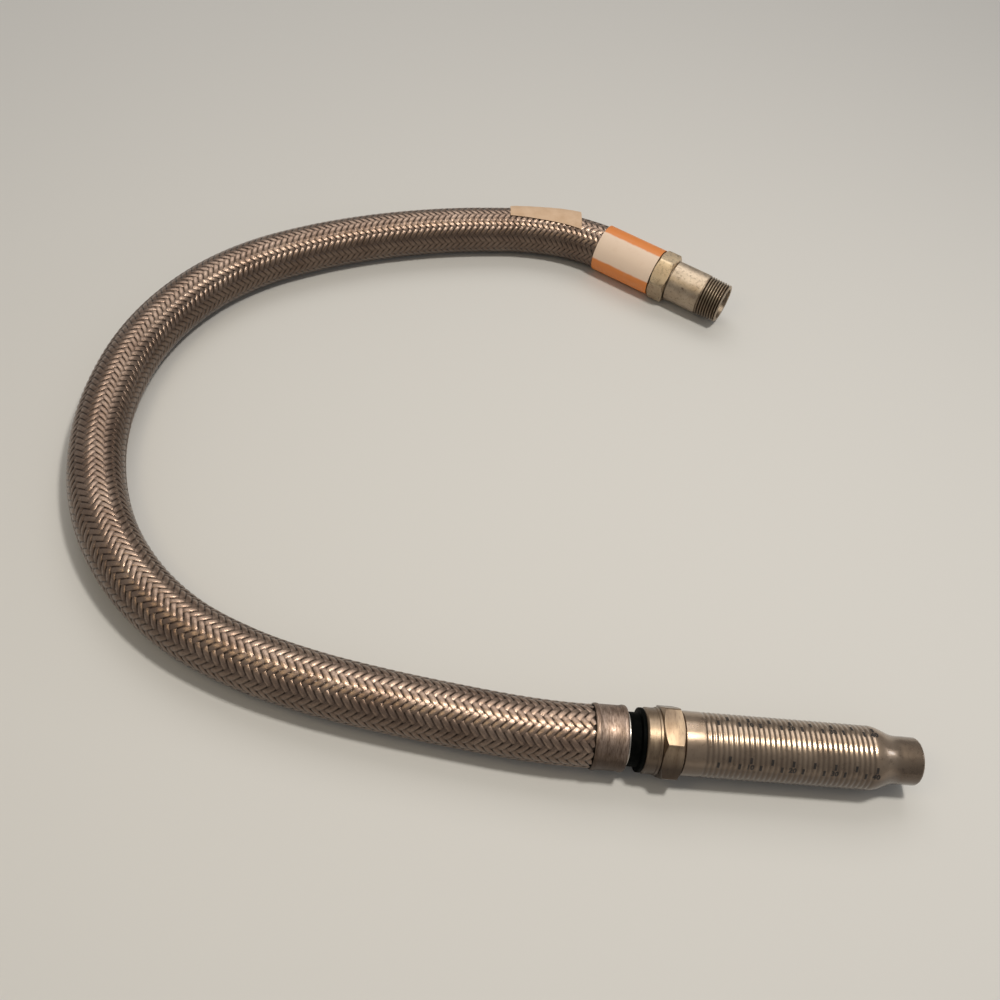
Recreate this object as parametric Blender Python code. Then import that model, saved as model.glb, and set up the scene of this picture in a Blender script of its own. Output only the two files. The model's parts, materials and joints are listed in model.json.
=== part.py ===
"""Braided flexible sprinkler hose with a threaded branch nipple and a graduated reducer.

Each end is a union joint: a weld ring on the hose carries a captive nut, and the
nut draws the nipple or the reducer against a flat gasket.
Metres, +Z up. The hose lies on z = 0, and the outlet fittings point along +X.
"""
import math

import bmesh
import bpy
from mathutils import Vector

MM = 0.001

# Hose
HOSE_OD = 36.5 * MM
HOSE_SIDE_COUNT = 12
HOSE_STEP = 18.0 * MM
FLOOR_GAP = 0.05 * MM

# Clearances between pieces that touch, turn or slide
SEAT_GAP = 0.3 * MM
THREAD_GAP = 0.3 * MM
NUT_MOUTH_GAP = 0.8 * MM

# Where the two ends lie: the mouth of each collar, and the way its axis points
OUTLET_MOUTH = (-97.2 * MM, -221.5 * MM)
OUTLET_HEADING = 0.0
INLET_MOUTH = (-65.3 * MM, 221.8 * MM)
INLET_HEADING = -29.4
INLET_AXIS_HEIGHT = 19.75 * MM

# The hose leaves each collar straight, for this length
HOSE_LEAD = 6.0 * MM

# The route of the hose between the mouths, read off its centreline
ROUTE = (
    (-89.5, 232.9),
    (-109, 237.9),
    (-129, 239.5),
    (-149, 238.8),
    (-163, 236.7),
    (-199, 229.4),
    (-240, 217.4),
    (-281, 201.4),
    (-320, 181.4),
    (-355, 157.4),
    (-384, 127.4),
    (-406, 91.4),
    (-420, 52.4),
    (-426, 10.4),
    (-425, -31.6),
    (-416, -72.6),
    (-399, -110.6),
    (-373, -144.6),
    (-341, -170.6),
    (-303, -188.6),
    (-262, -200.6),
    (-220, -208.6),
    (-178, -214.6),
    (-136, -219.6),
)

# Bore and weld ring
BORE_R = 11.0 * MM
NECK_R = 12.8 * MM
NECK_SHOW = 1.5 * MM
FLANGE_R = 15.0 * MM
FLANGE_LENGTH = 3.0 * MM
ROOT_LENGTH = 4.0 * MM

# Collar
COLLAR_OD = 38.2 * MM
COLLAR_LENGTH = 19.0 * MM
COLLAR_WALL = 1.0 * MM
COLLAR_BAND = 3.2 * MM
COLLAR_WAIST = 0.45 * MM

# Corrugated inner tube and braid end held in each collar
BRAID_THICK = 1.6 * MM
TUBE_DEPTH = 2.5 * MM
TUBE_WALL = 0.8 * MM
TUBE_PITCH = 4.2 * MM

# Isolation ring
RING_BODY_R = 15.5 * MM
RING_BODY_LENGTH = 4.2 * MM
RING_FLANGE_DROP = 0.7 * MM
RING_FLANGE_LENGTH = 4.4 * MM
RING_SLEEVE_WALL = 0.8 * MM

# Gasket
GASKET_LENGTH = 2.0 * MM
GASKET_BORE_R = 11.6 * MM

# Union nuts
NUT_LIP_LENGTH = 3.0 * MM
NUT_CHAMFER = 1.1 * MM
NUT_CORNER_CUT = 0.4 * MM
NUT_BEAD_R = 19.4 * MM
NUT_BEAD_LENGTH = 2.0 * MM
OUTLET_NUT_FLATS = 40.0 * MM
OUTLET_SKIRT_LENGTH = 9.1 * MM
OUTLET_HEX_LENGTH = 12.3 * MM
OUTLET_SKIRT_R = 18.9 * MM
OUTLET_HEX_TURN = 0.0
INLET_NUT_FLATS = 36.4 * MM
INLET_SKIRT_LENGTH = 11.8 * MM
INLET_HEX_LENGTH = 14.2 * MM
INLET_SKIRT_R = 17.6 * MM
INLET_HEX_TURN = 48.6

# Union thread, shared by the nuts, the nipple and the reducer
UNION_THREAD_R = 15.0 * MM
UNION_RELIEF_R = 14.3 * MM
UNION_RELIEF_LENGTH = 1.6 * MM

# Label sleeve
LABEL_GAP = 0.1 * MM
LABEL_WALL = 0.25 * MM
LABEL_OVER_HOSE = 11.0 * MM

# Masking tape strip
TAPE_START = 33.5 * MM
TAPE_LENGTH = 59.0 * MM
TAPE_THICK = 0.35 * MM
TAPE_SAMPLE = 2.0 * MM
TAPE_SAMPLES_PER_RING = 4
TAPE_LOW_EDGE = 71.0
TAPE_HIGH_EDGE = 128.0
TAPE_LIFT_NEAR = 3.6 * MM
TAPE_LIFT_FAR = 0.8 * MM

# Nipple
NIPPLE_R = 16.7 * MM
NIPPLE_BARREL_LENGTH = 28.0 * MM
NIPPLE_THREAD_LENGTH = 19.0 * MM
NIPPLE_TAPER = 1.0 / 32.0
NIPPLE_PITCH = 2.209 * MM
NIPPLE_THREAD_DEPTH = 1.2 * MM
NIPPLE_BORE_R = 13.0 * MM
NIPPLE_THREAD_TURNS = 8

# Reducer
REDUCER_R = 18.6 * MM
REDUCER_BORE_R = 15.2 * MM
REDUCER_PLAIN_LENGTH = 11.1 * MM
GROOVE_COUNT = 33
GROOVE_PITCH = 3.055 * MM
GROOVE_DEPTH = 0.7 * MM
SHOULDER_LENGTH = 18.0 * MM
NECK_LENGTH = 12.9 * MM
OUTLET_NECK_R = 13.9 * MM
SOCKET_R = 10.4 * MM
SOCKET_LENGTH = 17.0 * MM
LIP_ROUND = 2.2 * MM

# Facets round each turned piece
COARSE_COUNT = 24
FINE_COUNT = 32

# Lengths along a fitting's axis, counted from the mouth of its collar
RING_START = COLLAR_LENGTH + NECK_SHOW
RING_END = RING_START + RING_BODY_LENGTH + RING_FLANGE_LENGTH
NUT_START = RING_END + SEAT_GAP
LIP_END = NUT_START + NUT_LIP_LENGTH
FLANGE_START = LIP_END + SEAT_GAP
FLANGE_END = FLANGE_START + FLANGE_LENGTH
GASKET_START = FLANGE_END + SEAT_GAP
GASKET_END = GASKET_START + GASKET_LENGTH
FITTING_START = GASKET_END + SEAT_GAP
OUTLET_HEX_START = NUT_START + OUTLET_SKIRT_LENGTH
OUTLET_NUT_END = OUTLET_HEX_START + OUTLET_HEX_LENGTH
INLET_HEX_START = NUT_START + INLET_SKIRT_LENGTH
INLET_NUT_END = INLET_HEX_START + INLET_HEX_LENGTH
ROOT_START = COLLAR_LENGTH - ROOT_LENGTH
OUTLET_AXIS_HEIGHT = OUTLET_NUT_FLATS / 2

# Radii that follow the collar
RING_FLANGE_R = COLLAR_OD / 2 - RING_FLANGE_DROP
BRAID_R = COLLAR_OD / 2 - COLLAR_WALL - SEAT_GAP
TUBE_CREST_R = BRAID_R - BRAID_THICK - SEAT_GAP
TUBE_VALLEY_R = TUBE_CREST_R - TUBE_DEPTH


def clear_scene():
    for thing in list(bpy.data.objects):
        bpy.data.objects.remove(thing, do_unlink=True)


def make_material(name, colour, roughness, metallic):
    material = bpy.data.materials.new(name)
    material.use_nodes = True
    shader = material.node_tree.nodes["Principled BSDF"]
    shader.inputs["Base Color"].default_value = (*colour, 1.0)
    shader.inputs["Roughness"].default_value = roughness
    shader.inputs["Metallic"].default_value = metallic
    return material


def finish(name, bm, material, frame):
    """Turn a bmesh into a named object carried by the fitting's frame."""
    bmesh.ops.recalc_face_normals(bm, faces=bm.faces)
    mesh = bpy.data.meshes.new(name)
    bm.to_mesh(mesh)
    bm.free()
    mesh.shade_smooth()
    mesh.set_sharp_from_angle(angle=math.radians(35))
    mesh.materials.append(material)
    piece = bpy.data.objects.new(name, mesh)
    bpy.context.collection.objects.link(piece)
    piece.parent = frame
    return piece


def turned(profile, sides):
    """A closed profile of (distance along X, radius) points, spun about X."""
    bm = bmesh.new()
    points = [bm.verts.new((along, 0.0, radius)) for along, radius in profile]
    edges = [bm.edges.new((points[i - 1], points[i])) for i in range(len(points))]
    bmesh.ops.spin(
        bm,
        geom=points + edges,
        cent=(0, 0, 0),
        axis=(1, 0, 0),
        angle=2 * math.pi,
        steps=sides,
        use_merge=True,
    )
    return bm


def tube(start, end, inner, outer):
    """The profile of a plain ring."""
    return [(start, inner), (end, inner), (end, outer), (start, outer)]


def empty_at(name, location, heading):
    frame = bpy.data.objects.new(name, None)
    frame.location = location
    frame.rotation_euler = (0.0, 0.0, math.radians(heading))
    bpy.context.collection.objects.link(frame)
    return frame


def subtract(piece, cutter):
    cutter.hide_render = True
    cutter.display_type = "WIRE"
    cut = piece.modifiers.new("cut_" + cutter.name, "BOOLEAN")
    cut.operation = "DIFFERENCE"
    cut.object = cutter


# The route of the hose
def route_points():
    """The route's hand-chosen points in metres, from the inlet to the outlet."""
    low = HOSE_OD / 2 + FLOOR_GAP
    points = [Vector((x * MM, y * MM, low)) for x, y in ROUTE]
    points[0].z = (INLET_AXIS_HEIGHT * 2 + low) / 3
    points[1].z = (INLET_AXIS_HEIGHT + low * 2) / 3
    points[-1].z = (OUTLET_AXIS_HEIGHT + low * 2) / 3
    inlet = Vector((*INLET_MOUTH, INLET_AXIS_HEIGHT)) - heading_vector(INLET_HEADING) * HOSE_LEAD
    outlet = Vector((*OUTLET_MOUTH, OUTLET_AXIS_HEIGHT)) - heading_vector(OUTLET_HEADING) * HOSE_LEAD
    return [inlet] + points + [outlet]


def heading_vector(degrees):
    return Vector((math.cos(math.radians(degrees)), math.sin(math.radians(degrees)), 0.0))


def smooth_route(step):
    """A smooth curve through the route's points, with a point about every step."""
    points = route_points()
    leave = -heading_vector(INLET_HEADING)
    arrive = heading_vector(OUTLET_HEADING)
    tangents = [leave]
    for before, after in zip(points, points[2:]):
        tangents.append((after - before).normalized())
    tangents.append(arrive)
    fine = []
    samples = 24
    for a, b, ta, tb in zip(points, points[1:], tangents, tangents[1:]):
        reach = (b - a).length
        for k in range(samples):
            t = k / samples
            fine.append(
                a * (2 * t**3 - 3 * t**2 + 1)
                + ta * (reach * (t**3 - 2 * t**2 + t))
                + b * (3 * t**2 - 2 * t**3)
                + tb * (reach * (t**3 - t**2))
            )
    fine.append(points[-1])
    total = sum((b - a).length for a, b in zip(fine, fine[1:]))
    count = max(2, round(total / step))
    spaced = [fine[0]]
    walked = 0.0
    for a, b in zip(fine, fine[1:]):
        walked += (b - a).length
        if walked >= len(spaced) * total / count and len(spaced) < count:
            spaced.append(b)
    spaced.append(fine[-1])
    return spaced


def make_hose(material):
    """The braided hose, a plain tube along its whole route."""
    curve = bpy.data.curves.new("braided_hose", "CURVE")
    curve.dimensions = "3D"
    curve.bevel_depth = HOSE_OD / 2
    curve.bevel_resolution = HOSE_SIDE_COUNT // 2 - 2
    curve.use_fill_caps = True
    curve.twist_mode = "Z_UP"
    points = smooth_route(HOSE_STEP)
    lead = HOSE_LEAD - SEAT_GAP
    points.insert(0, points[0] + heading_vector(INLET_HEADING) * lead)
    points.append(points[-1] + heading_vector(OUTLET_HEADING) * lead)
    spline = curve.splines.new("POLY")
    spline.points.add(len(points) - 1)
    for slot, point in zip(spline.points, points):
        slot.co = (*point, 1.0)
    curve.materials.append(material)
    hose = bpy.data.objects.new("braided_hose", curve)
    bpy.context.collection.objects.link(hose)
    return hose


def make_tape(material):
    """A strip of masking tape laid along the top of the hose, its upper edge lifted."""
    route = smooth_route(TAPE_SAMPLE)
    walked = HOSE_LEAD
    stations = []
    for before, here, after in zip(route, route[1:], route[2:]):
        walked += (here - before).length
        if TAPE_START <= walked <= TAPE_START + TAPE_LENGTH:
            stations.append((here, (after - before).normalized()))
    stations = stations[::TAPE_SAMPLES_PER_RING]
    across = 8
    bm = bmesh.new()
    rings = []
    for number, (centre, along) in enumerate(stations):
        reach = number / (len(stations) - 1)
        lift = TAPE_LIFT_NEAR + (TAPE_LIFT_FAR - TAPE_LIFT_NEAR) * reach
        outward = along.cross(Vector((0, 0, 1))).normalized()
        up = outward.cross(along)
        ring = []
        for thick, order in ((0.0, range(across + 1)), (TAPE_THICK, range(across, -1, -1))):
            for k in order:
                share = k / across
                angle = math.radians(TAPE_LOW_EDGE + share * (TAPE_HIGH_EDGE - TAPE_LOW_EDGE))
                radius = HOSE_OD / 2 + SEAT_GAP + thick + lift * share**2
                place = centre - outward * (radius * math.cos(angle)) + up * (radius * math.sin(angle))
                ring.append(bm.verts.new(place))
        rings.append(ring)
    for a, b in zip(rings, rings[1:]):
        for i in range(len(a)):
            bm.faces.new((a[i - 1], a[i], b[i], b[i - 1]))
    bm.faces.new(rings[0])
    bm.faces.new(reversed(rings[-1]))
    bmesh.ops.triangulate(bm, faces=bm.faces)
    return finish("masking_tape", bm, material, None)


# Pieces that both ends share
def make_collar(side, frame, material):
    """The collar that clamps the braid: a raised band at each rim and a shallow waist."""
    outer = COLLAR_OD / 2
    inner = outer - COLLAR_WALL
    waist = outer - COLLAR_WAIST
    bevel = COLLAR_WAIST
    profile = [
        (0.0, inner),
        (COLLAR_LENGTH, inner),
        (COLLAR_LENGTH, outer - bevel),
        (COLLAR_LENGTH - bevel, outer),
        (COLLAR_LENGTH - COLLAR_BAND, outer),
        (COLLAR_LENGTH - COLLAR_BAND - bevel, waist),
        (COLLAR_BAND + bevel, waist),
        (COLLAR_BAND, outer),
        (bevel, outer),
        (0.0, outer - bevel),
    ]
    return finish(side + "_collar", turned(profile, FINE_COUNT), material, frame)


def make_braid_end(side, frame, material):
    """The last of the braid, gripped between the collar and the corrugated tube."""
    profile = tube(0.0, ROOT_START - SEAT_GAP, BRAID_R - BRAID_THICK, BRAID_R)
    return finish(side + "_braid_end", turned(profile, COARSE_COUNT), material, frame)


def make_corrugated_tube(side, frame, material):
    """The end of the corrugated inner tube that carries the water."""
    end = ROOT_START - SEAT_GAP
    count = int(end / TUBE_PITCH)
    margin = (end - count * TUBE_PITCH) / 2
    outside = [(0.0, TUBE_VALLEY_R)]
    for k in range(count):
        start = margin + k * TUBE_PITCH
        outside.append((start + 0.1 * TUBE_PITCH, TUBE_VALLEY_R))
        outside.append((start + 0.5 * TUBE_PITCH, TUBE_CREST_R))
        outside.append((start + 0.9 * TUBE_PITCH, TUBE_VALLEY_R))
    outside.append((end, TUBE_VALLEY_R))
    inside = [(along, radius - TUBE_WALL) for along, radius in outside]
    profile = inside + outside[::-1]
    return finish(side + "_corrugated_tube", turned(profile, COARSE_COUNT), material, frame)


def make_weld_ring(side, frame, material):
    """The ring welded to the tube: a root in the collar, a neck and a gasket flange."""
    profile = [
        (ROOT_START, BORE_R),
        (FLANGE_END, BORE_R),
        (FLANGE_END, FLANGE_R),
        (FLANGE_START, FLANGE_R),
        (FLANGE_START, NECK_R),
        (COLLAR_LENGTH, NECK_R),
        (COLLAR_LENGTH, BRAID_R),
        (ROOT_START, BRAID_R),
    ]
    return finish(side + "_weld_ring", turned(profile, COARSE_COUNT), material, frame)


def make_isolation_ring(side, frame, material):
    """The plastic ring that keeps the nut off the weld ring: body, flange and sleeve."""
    inner = NECK_R + SEAT_GAP
    step = RING_START + RING_BODY_LENGTH
    profile = [
        (RING_START, inner),
        (LIP_END, inner),
        (LIP_END, inner + RING_SLEEVE_WALL),
        (RING_END, inner + RING_SLEEVE_WALL),
        (RING_END, RING_FLANGE_R),
        (step + SEAT_GAP, RING_FLANGE_R),
        (step, RING_BODY_R),
        (RING_START, RING_BODY_R),
    ]
    return finish(side + "_isolation_ring", turned(profile, COARSE_COUNT), material, frame)


def make_gasket(side, frame, material):
    """The flat gasket between the weld ring and the fitting."""
    profile = tube(GASKET_START, GASKET_END, GASKET_BORE_R, UNION_THREAD_R - SEAT_GAP)
    return finish(side + "_gasket", turned(profile, COARSE_COUNT), material, frame)


def make_hex_cutter(side, frame, hex_span, flats, turn, corner):
    """A ring that is hexagonal inside, to leave a hexagon on the end of a round nut."""
    bm = bmesh.new()
    start, end = hex_span
    end += NUT_CHAMFER
    loops = []
    for radius in (flats / 2 / math.cos(math.pi / 6), corner * 1.3):
        for along in (start, end):
            loop = []
            for k in range(6):
                angle = math.radians(turn + 60 * k)
                loop.append(bm.verts.new((along, radius * math.cos(angle), radius * math.sin(angle))))
            loops.append(loop)
    near_in, far_in, near_out, far_out = loops
    for a, b in ((near_in, far_in), (far_in, far_out), (far_out, near_out), (near_out, near_in)):
        for i in range(6):
            bm.faces.new((a[i - 1], a[i], b[i], b[i - 1]))
    return finish(side + "_hex_cutter", bm, bpy.data.materials["steel"], frame)


def make_nut(side, frame, hex_span, flats, skirt, turn, beaded, material):
    """A union nut: an inward lip, a round skirt and a chamfered hexagon."""
    hex_start, nut_end = hex_span
    corner = flats / 2 / math.cos(math.pi / 6)
    lip = NECK_R + SEAT_GAP + RING_SLEEVE_WALL + SEAT_GAP
    bore = UNION_THREAD_R + THREAD_GAP
    blank = corner - NUT_CORNER_CUT
    drop = blank - flats / 2 + NUT_CORNER_CUT
    slope = drop * math.tan(math.radians(30))
    profile = [
        (NUT_START, lip),
        (LIP_END, lip),
        (LIP_END, bore),
        (nut_end - NUT_CHAMFER / 2, bore),
        (nut_end, bore + NUT_CHAMFER / 2),
        (nut_end, blank - drop),
        (nut_end - slope, blank),
        (hex_start + slope, blank),
        (hex_start, blank - drop),
    ]
    if beaded:
        bead = hex_start - NUT_BEAD_LENGTH
        profile += [
            (hex_start - SEAT_GAP, NUT_BEAD_R),
            (bead, NUT_BEAD_R),
            (bead - SEAT_GAP, skirt),
        ]
    else:
        profile += [(hex_start - SEAT_GAP, skirt)]
    profile += [
        (NUT_START + NUT_CHAMFER, skirt),
        (NUT_START, skirt - NUT_CHAMFER),
    ]
    nut = finish(side + "_nut", turned(profile, FINE_COUNT), material, frame)
    cutter = make_hex_cutter(side, frame, hex_span, flats, turn, corner)
    subtract(nut, cutter)
    return nut


def union_end(nut_end):
    """The threaded end of a nipple or reducer, from its seat to its shoulder."""
    return [
        (FITTING_START, UNION_THREAD_R - UNION_RELIEF_LENGTH / 2),
        (FITTING_START + UNION_RELIEF_LENGTH / 2, UNION_THREAD_R),
        (nut_end - UNION_RELIEF_LENGTH, UNION_THREAD_R),
        (nut_end - UNION_RELIEF_LENGTH / 2, UNION_RELIEF_R),
        (nut_end + NUT_MOUTH_GAP, UNION_RELIEF_R),
    ]


# The inlet's own pieces
def make_label(frame, material):
    """The printed sleeve round the collar, reaching over the nut's skirt."""
    inner = COLLAR_OD / 2 + LABEL_GAP
    profile = tube(-LABEL_OVER_HOSE, INLET_HEX_START - SEAT_GAP, inner, inner + LABEL_WALL)
    return finish("inlet_label", turned(profile, FINE_COUNT), material, frame)


def make_nipple(frame, material):
    """The branch nipple: a plain barrel and a tapered pipe thread as turned ridges."""
    shoulder = INLET_NUT_END + NUT_MOUTH_GAP
    thread_start = shoulder + NIPPLE_BARREL_LENGTH
    end = thread_start + NIPPLE_THREAD_LENGTH
    outside = union_end(INLET_NUT_END)
    outside += [(shoulder, NIPPLE_R - SEAT_GAP), (shoulder + SEAT_GAP, NIPPLE_R)]
    outside.append((thread_start, NIPPLE_R))
    lead = NIPPLE_THREAD_LENGTH - NIPPLE_THREAD_TURNS * NIPPLE_PITCH
    for k in range(NIPPLE_THREAD_TURNS):
        root = thread_start + lead / 2 + k * NIPPLE_PITCH
        crest = root + NIPPLE_PITCH / 2
        crest_r = NIPPLE_R - (crest - thread_start) * NIPPLE_TAPER
        root_r = NIPPLE_R - (root - thread_start) * NIPPLE_TAPER - NIPPLE_THREAD_DEPTH
        outside.append((root, root_r))
        outside.append((crest, crest_r))
    end_r = NIPPLE_R - NIPPLE_THREAD_LENGTH * NIPPLE_TAPER - NIPPLE_THREAD_DEPTH
    outside += [(end - lead / 2, end_r), (end, end_r - SEAT_GAP)]
    inside = [
        (FITTING_START, BORE_R),
        (INLET_NUT_END, BORE_R),
        (shoulder + NIPPLE_R - BORE_R, NIPPLE_BORE_R),
        (end - SEAT_GAP, NIPPLE_BORE_R),
        (end, NIPPLE_BORE_R + SEAT_GAP),
    ]
    profile = inside + outside[::-1]
    return finish("inlet_nipple", turned(profile, FINE_COUNT), material, frame)


# The outlet's own pieces
def shoulder_curve(start, length, from_r, to_r, steps):
    """Points of a smooth S between two radii."""
    points = []
    for k in range(steps + 1):
        share = k / steps
        ease = (1 - math.cos(math.pi * share)) / 2
        points.append((start + length * share, from_r + (to_r - from_r) * ease))
    return points


def make_reducer(frame, material):
    """The reducer: a grooved barrel that swages down to the sprinkler socket."""
    shoulder = OUTLET_NUT_END + NUT_MOUTH_GAP
    grooves_start = shoulder + REDUCER_PLAIN_LENGTH
    swage_start = grooves_start + GROOVE_COUNT * GROOVE_PITCH
    neck_start = swage_start + SHOULDER_LENGTH
    end = neck_start + NECK_LENGTH
    outside = union_end(OUTLET_NUT_END)
    outside += [(shoulder, REDUCER_R - SEAT_GAP), (shoulder + SEAT_GAP, REDUCER_R)]
    for k in range(GROOVE_COUNT):
        start = grooves_start + k * GROOVE_PITCH
        outside.append((start + 0.18 * GROOVE_PITCH, REDUCER_R))
        outside.append((start + 0.50 * GROOVE_PITCH, REDUCER_R - GROOVE_DEPTH))
        outside.append((start + 0.82 * GROOVE_PITCH, REDUCER_R))
    outside += shoulder_curve(swage_start, SHOULDER_LENGTH, REDUCER_R, OUTLET_NECK_R, 5)
    outside += [
        (end - LIP_ROUND, OUTLET_NECK_R),
        (end - LIP_ROUND * 0.3, OUTLET_NECK_R - LIP_ROUND * 0.3),
        (end, OUTLET_NECK_R - LIP_ROUND),
    ]
    socket_start = end - SOCKET_LENGTH
    inside = [
        (FITTING_START, BORE_R),
        (OUTLET_NUT_END, BORE_R),
        (shoulder + REDUCER_BORE_R - BORE_R, REDUCER_BORE_R),
        (swage_start, REDUCER_BORE_R),
        (socket_start, SOCKET_R),
        (end, SOCKET_R),
    ]
    profile = inside + outside[::-1]
    return finish("outlet_reducer", turned(profile, COARSE_COUNT), material, frame)


def make_joint_pieces(side, frame, materials):
    """The pieces that each union joint has on its hose side."""
    make_collar(side, frame, materials["collar"])
    make_braid_end(side, frame, materials["braid"])
    make_corrugated_tube(side, frame, materials["steel"])
    make_weld_ring(side, frame, materials["steel"])
    make_isolation_ring(side, frame, materials["ring"])
    make_gasket(side, frame, materials["gasket"])


def main():
    clear_scene()
    materials = {
        "braid": make_material("braid", (0.30, 0.25, 0.20), 0.45, 0.9),
        "steel": make_material("steel", (0.45, 0.42, 0.38), 0.35, 1.0),
        "collar": make_material("collar", (0.42, 0.34, 0.26), 0.35, 1.0),
        "ring": make_material("ring", (0.012, 0.012, 0.013), 0.5, 0.0),
        "gasket": make_material("gasket", (0.03, 0.03, 0.03), 0.8, 0.0),
        "zinc": make_material("zinc", (0.50, 0.42, 0.32), 0.4, 1.0),
        "label": make_material("label", (0.78, 0.45, 0.22), 0.5, 0.0),
        "tape": make_material("tape", (0.62, 0.45, 0.28), 0.8, 0.0),
    }
    inlet = empty_at("inlet_axis", (*INLET_MOUTH, INLET_AXIS_HEIGHT), INLET_HEADING)
    outlet = empty_at("outlet_axis", (*OUTLET_MOUTH, OUTLET_AXIS_HEIGHT), OUTLET_HEADING)
    make_hose(materials["braid"])
    make_tape(materials["tape"])
    make_joint_pieces("inlet", inlet, materials)
    make_label(inlet, materials["label"])
    make_nut(
        "inlet",
        inlet,
        (INLET_HEX_START, INLET_NUT_END),
        INLET_NUT_FLATS,
        INLET_SKIRT_R,
        INLET_HEX_TURN,
        False,
        materials["zinc"],
    )
    make_nipple(inlet, materials["zinc"])
    make_joint_pieces("outlet", outlet, materials)
    make_nut(
        "outlet",
        outlet,
        (OUTLET_HEX_START, OUTLET_NUT_END),
        OUTLET_NUT_FLATS,
        OUTLET_SKIRT_R,
        OUTLET_HEX_TURN,
        True,
        materials["zinc"],
    )
    make_reducer(outlet, materials["zinc"])


main()
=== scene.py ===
# %% [markdown]
# # A braided sprinkler hose
# This hose joins a branch pipe to one sprinkler head. Inside is a corrugated steel tube,
# and a braid of steel wire round it takes the pull of the water.
# The frame that is loaded here holds every solid at its real size. The cells below dress it:
# wire by wire where the braid shows, and with turned and plated metal at both ends.

# %% Load the frame
import json
import math

import bmesh
import bpy
import numpy as np
from mathutils import Matrix, Vector


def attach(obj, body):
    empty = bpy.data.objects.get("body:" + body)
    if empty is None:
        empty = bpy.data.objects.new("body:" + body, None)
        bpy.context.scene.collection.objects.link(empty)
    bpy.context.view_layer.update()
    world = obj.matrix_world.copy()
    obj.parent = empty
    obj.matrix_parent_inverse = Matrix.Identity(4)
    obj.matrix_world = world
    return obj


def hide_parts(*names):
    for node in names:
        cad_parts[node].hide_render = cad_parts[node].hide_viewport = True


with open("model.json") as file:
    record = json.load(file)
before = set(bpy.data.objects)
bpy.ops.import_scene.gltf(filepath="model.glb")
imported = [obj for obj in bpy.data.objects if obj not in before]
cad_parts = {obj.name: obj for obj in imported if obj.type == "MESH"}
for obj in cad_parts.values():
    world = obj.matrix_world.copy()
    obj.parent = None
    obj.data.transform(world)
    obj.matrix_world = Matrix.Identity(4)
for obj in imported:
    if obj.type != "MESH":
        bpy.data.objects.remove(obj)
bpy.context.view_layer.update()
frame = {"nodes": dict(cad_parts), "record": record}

MM = 0.001
scene = bpy.context.scene
print("nodes in the frame:", len(frame["nodes"]))

# %% [markdown]
# ## The camera
# The photograph looks down at the hose from the open side of its C, a little rolled.
# A camera can be aimed with a Track To constraint, but that loses the roll. Here the three
# directions of the camera are built from how far it looks down, its turn and its roll.

# %% The camera
PHOTO_PIXELS = 1000
FOCAL_PIXELS = 1000
SENSOR_MM = 36.0
CAMERA_PLACE = Vector((-0.2060, -0.4696, 0.5494))
LOOK_DOWN = math.radians(51.8)
LOOK_ROLL = math.radians(11.1)
LOOK_TURN = math.radians(-7.07)


def camera_axes():
    """The camera's right, up and backward directions."""
    forward = Vector((0.0, math.cos(LOOK_DOWN), -math.sin(LOOK_DOWN)))
    level = Vector((1.0, 0.0, 0.0))
    down = Vector((0.0, -math.sin(LOOK_DOWN), -math.cos(LOOK_DOWN)))
    right = level * math.cos(LOOK_ROLL) - down * math.sin(LOOK_ROLL)
    low = level * math.sin(LOOK_ROLL) + down * math.cos(LOOK_ROLL)
    turn = Matrix.Rotation(LOOK_TURN, 3, "Z")
    return turn @ right, turn @ -low, turn @ -forward


camera_data = bpy.data.cameras.new("camera")
camera_data.sensor_width = SENSOR_MM
camera_data.lens = SENSOR_MM * FOCAL_PIXELS / PHOTO_PIXELS
camera_data.clip_start = 0.01
camera = bpy.data.objects.new("camera", camera_data)
camera.matrix_world = Matrix.Translation(CAMERA_PLACE) @ Matrix(camera_axes()).transposed().to_4x4()
scene.collection.objects.link(camera)
scene.camera = camera
scene.view_settings.view_transform = "Standard"
print("lens in mm:", round(camera_data.lens, 2))

# %% [markdown]
# ## The two fittings' axes
# Everything at an end of the hose is turned about one axis, so each end gets a matrix of its
# own: X runs along the axis from the mouth of the collar, and Z points up. The direction comes
# from the nut's joint, which lies on that axis at the middle of the hexagon.

# %% The axes
OUTLET_JOINT_AT = 44.65 * MM
INLET_JOINT_AT = 48.3 * MM
joints = {joint["name"]: joint for joint in frame["record"]["behaviour"]["joints"]}


def fitting_axis(joint_name, joint_at):
    """The matrix that carries a piece from along X to its place on the fitting."""
    joint = joints[joint_name]
    along = -Vector(joint["axis"]).normalized()
    mouth = Vector(joint["pos_m"]) - along * joint_at
    up = Vector((0.0, 0.0, 1.0))
    turn = Matrix((along, up.cross(along), up)).transposed()
    return Matrix.Translation(mouth) @ turn.to_4x4()


INLET = fitting_axis("inlet_nut_turn", INLET_JOINT_AT)
OUTLET = fitting_axis("outlet_nut_turn", OUTLET_JOINT_AT)
print("inlet mouth:", [round(v, 4) for v in INLET.translation])
print("outlet mouth:", [round(v, 4) for v in OUTLET.translation])
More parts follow.
